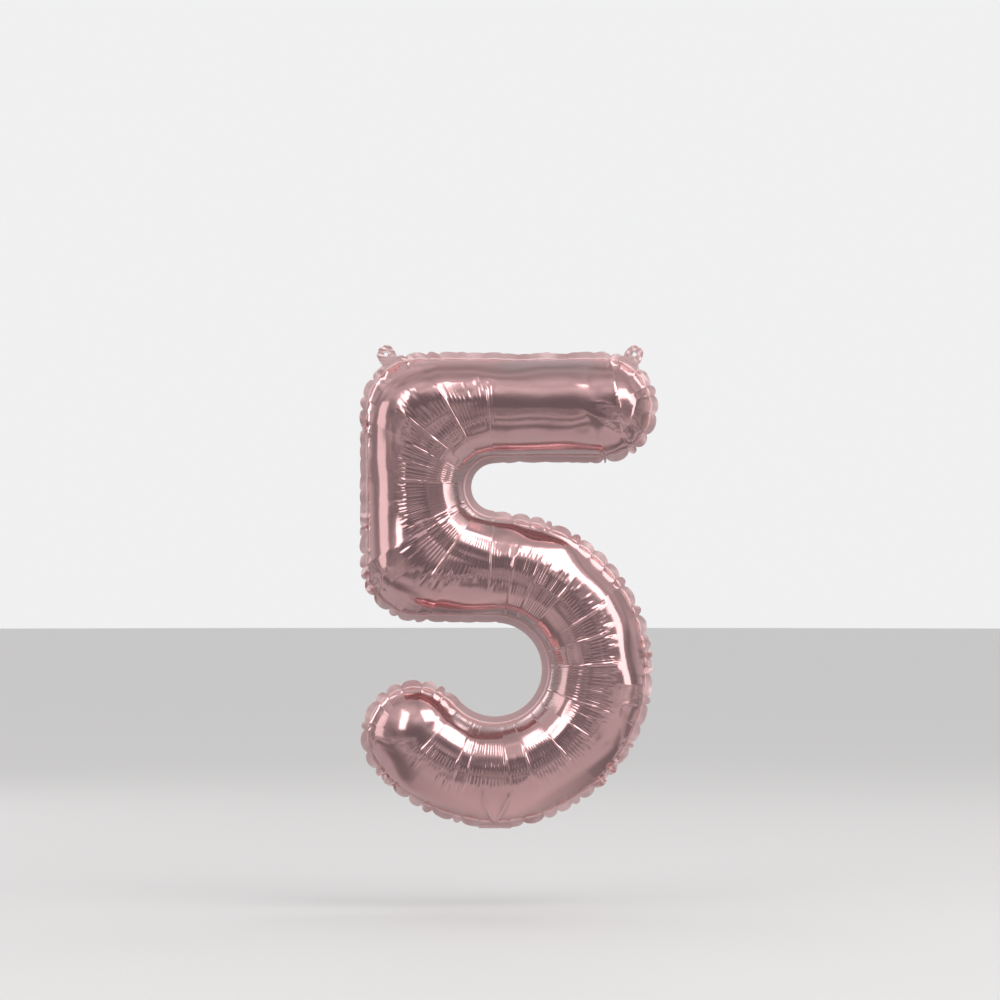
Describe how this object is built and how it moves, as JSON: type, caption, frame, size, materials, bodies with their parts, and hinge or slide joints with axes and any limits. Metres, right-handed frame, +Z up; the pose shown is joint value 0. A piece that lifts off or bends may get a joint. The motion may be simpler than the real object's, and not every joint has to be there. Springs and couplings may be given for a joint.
{
  "type": "foil number balloon",
  "caption": "Inflated foil balloon shaped as the digit 5: films welded round a flat edge, with a self-sealing valve, a folding fill tab and punched hanging tabs.",
  "frame": {"origin": "midway between the centres of the two hanging holes, in the plane of the edge weld", "axes": "+X to the right across the digit, +Y backwards through its thickness, +Z up; the front of the digit faces -Y"},
  "size_m": [0.2195, 0.066, 0.3548],
  "materials": {
    "rose_gold_foil": "bright rose-gold metallised film, softly mirrored, with fine heat-weld puckers",
    "sealant": "melted polyethylene sealant between the two films",
    "valve_film": "thin clear polyethylene"
  },
  "bodies": {
    "balloon": {"front_foil": "rose_gold_foil", "rear_foil": "rose_gold_foil", "edge_weld": "sealant", "valve_front_film": "valve_film", "valve_rear_film": "valve_film"},
    "fill_tab": {"fill_tab_front": "rose_gold_foil", "fill_tab_rear": "rose_gold_foil", "fill_tab_weld_left": "sealant", "fill_tab_weld_right": "sealant", "valve_mouth_front": "valve_film", "valve_mouth_rear": "valve_film"},
    "hang_tab_left": {"hang_tab_left": "rose_gold_foil"},
    "hang_tab_right": {"hang_tab_right": "rose_gold_foil"}
  },
  "joints": [
    {"name": "fill_tab_fold", "type": "hinge", "parent": "balloon", "child": "fill_tab", "pos_m": [-0.01116, 0, -0.348], "axis": [1, 0, 0], "range_deg": [-180, 0]},
    {"name": "hang_tab_left_fold", "type": "hinge", "parent": "balloon", "child": "hang_tab_left", "pos_m": [-0.08902, 0, -0.00389], "axis": [-0.8646, 0, -0.5025], "range_deg": [-90, 90]},
    {"name": "hang_tab_right_fold", "type": "hinge", "parent": "balloon", "child": "hang_tab_right", "pos_m": [0.08896, 0, -0.00386], "axis": [-0.8571, 0, 0.5151], "range_deg": [-90, 90]}
  ]
}
